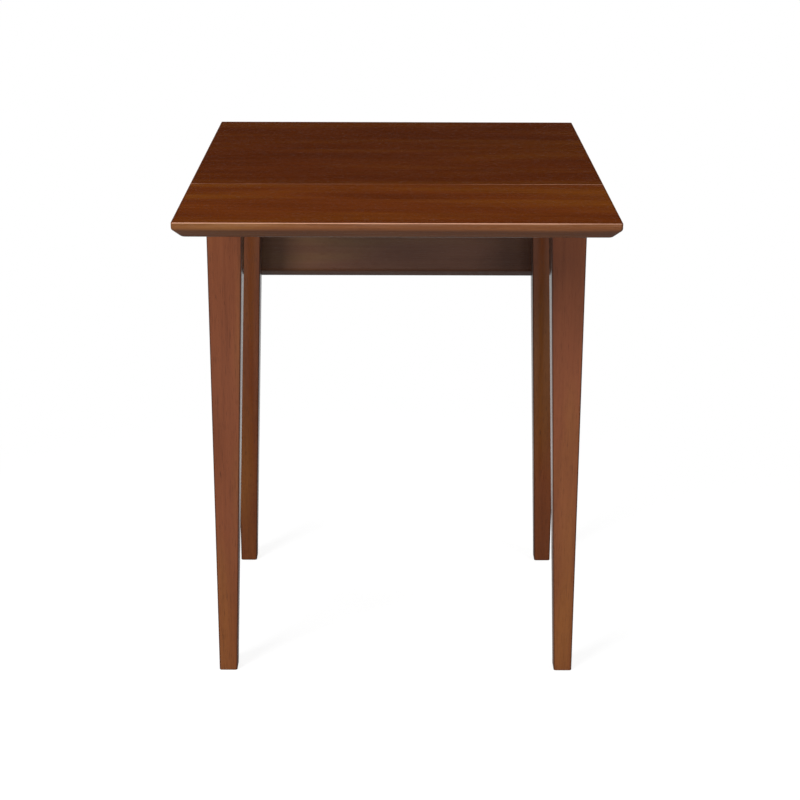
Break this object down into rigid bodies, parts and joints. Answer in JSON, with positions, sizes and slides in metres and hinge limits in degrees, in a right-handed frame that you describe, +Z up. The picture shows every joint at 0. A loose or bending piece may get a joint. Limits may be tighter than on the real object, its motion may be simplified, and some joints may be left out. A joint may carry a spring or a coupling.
{
  "type": "drop-leaf dining table",
  "caption": "Small rectangular dining table on tapered square legs, with hinged leaves that fold down at the front and back and folding metal leaf stays.",
  "frame": {"origin": "on the floor, under the middle of the table's bounding box with the front leaf up and the back leaf hanging", "axes": "+Z up, +X to the right along the hinge lines, +Y from the front leaf to the back leaf"},
  "size_m": [0.559, 0.734, 0.74],
  "materials": {
    "top_wood": "dark reddish brown stain under satin lacquer, grain along the table's width",
    "leg_wood": "dark reddish brown stain under satin lacquer, upright grain",
    "frame_wood": "dark reddish brown stain, thin lacquer",
    "zinc_steel": "zinc-plated steel",
    "dark_steel": "dark oxide steel",
    "nylon": "off-white nylon"
  },
  "bodies": {
    "table_frame": {"main_top": "top_wood", "leg_front_left": "leg_wood", "leg_front_right": "leg_wood", "leg_back_left": "leg_wood", "leg_back_right": "leg_wood", "apron_left": "frame_wood", "apron_right": "frame_wood", "rail_front": "frame_wood", "rail_back": "frame_wood", "corner_block_front_left": "frame_wood", "corner_block_front_right": "frame_wood", "corner_block_back_left": "frame_wood", "corner_block_back_right": "frame_wood", "leg_bolt_front_left": "zinc_steel", "leg_bolt_front_right": "zinc_steel", "leg_bolt_back_left": "zinc_steel", "leg_bolt_back_right": "zinc_steel", "leg_nut_front_left": "zinc_steel", "leg_nut_front_right": "zinc_steel", "leg_nut_back_left": "zinc_steel", "leg_nut_back_right": "zinc_steel", "top_clip_front_left": "zinc_steel", "top_clip_front_right": "zinc_steel", "top_clip_back_left": "zinc_steel", "top_clip_back_right": "zinc_steel", "hinge_fixed_front_left": "zinc_steel", "hinge_fixed_front_right": "zinc_steel", "hinge_fixed_back_left": "zinc_steel", "hinge_fixed_back_right": "zinc_steel", "hinge_pin_front_left": "zinc_steel", "hinge_pin_front_right": "zinc_steel", "hinge_pin_back_left": "zinc_steel", "hinge_pin_back_right": "zinc_steel", "stay_bracket_front_left": "zinc_steel", "stay_bracket_front_right": "zinc_steel", "stay_bracket_back_left": "zinc_steel", "stay_bracket_back_right": "zinc_steel", "stay_pivot_front_left": "zinc_steel", "stay_pivot_front_right": "zinc_steel", "stay_pivot_back_left": "zinc_steel", "stay_pivot_back_right": "zinc_steel"},
    "front_leaf": {"front_leaf": "top_wood", "hinge_leaf_front_left": "zinc_steel", "hinge_leaf_front_right": "zinc_steel", "stay_track_front_left": "zinc_steel", "stay_track_front_right": "zinc_steel"},
    "back_leaf": {"back_leaf": "top_wood", "hinge_leaf_back_left": "zinc_steel", "hinge_leaf_back_right": "zinc_steel", "stay_track_back_left": "zinc_steel", "stay_track_back_right": "zinc_steel"},
    "stay_front_left": {"stay_arm_front_left": "dark_steel", "stay_shoe_front_left": "nylon"},
    "stay_front_right": {"stay_arm_front_right": "dark_steel", "stay_shoe_front_right": "nylon"},
    "stay_back_left": {"stay_arm_back_left": "dark_steel", "stay_shoe_back_left": "nylon"},
    "stay_back_right": {"stay_arm_back_right": "dark_steel", "stay_shoe_back_right": "nylon"}
  },
  "joints": [
    {"name": "front_leaf_hinge", "type": "hinge", "parent": "table_frame", "child": "front_leaf", "pos_m": [0, -0.13455, 0.7154], "axis": [1, 0, 0], "range_deg": [0, 90]},
    {"name": "back_leaf_hinge", "type": "hinge", "parent": "table_frame", "child": "back_leaf", "pos_m": [0, 0.34245, 0.7154], "axis": [1, 0, 0], "range_deg": [0, 90]},
    {"name": "stay_front_left_pivot", "type": "hinge", "parent": "table_frame", "child": "stay_front_left", "pos_m": [-0.11, -0.12455, 0.6794], "axis": [1, 0, 0], "range_deg": [0, 104.1]},
    {"name": "stay_front_right_pivot", "type": "hinge", "parent": "table_frame", "child": "stay_front_right", "pos_m": [0.11, -0.12455, 0.6794], "axis": [1, 0, 0], "range_deg": [0, 104.1]},
    {"name": "stay_back_left_pivot", "type": "hinge", "parent": "table_frame", "child": "stay_back_left", "pos_m": [-0.11, 0.33245, 0.6794], "axis": [1, 0, 0], "range_deg": [0, 104.1]},
    {"name": "stay_back_right_pivot", "type": "hinge", "parent": "table_frame", "child": "stay_back_right", "pos_m": [0.11, 0.33245, 0.6794], "axis": [1, 0, 0], "range_deg": [0, 104.1]}
  ],
  "couplings": [
    {"joint": "stay_front_left_pivot", "follows": "front_leaf_hinge", "ratio": 1.1562},
    {"joint": "stay_front_right_pivot", "follows": "front_leaf_hinge", "ratio": 1.1562},
    {"joint": "stay_back_left_pivot", "follows": "back_leaf_hinge", "ratio": 1.1562},
    {"joint": "stay_back_right_pivot", "follows": "back_leaf_hinge", "ratio": 1.1562}
  ]
}
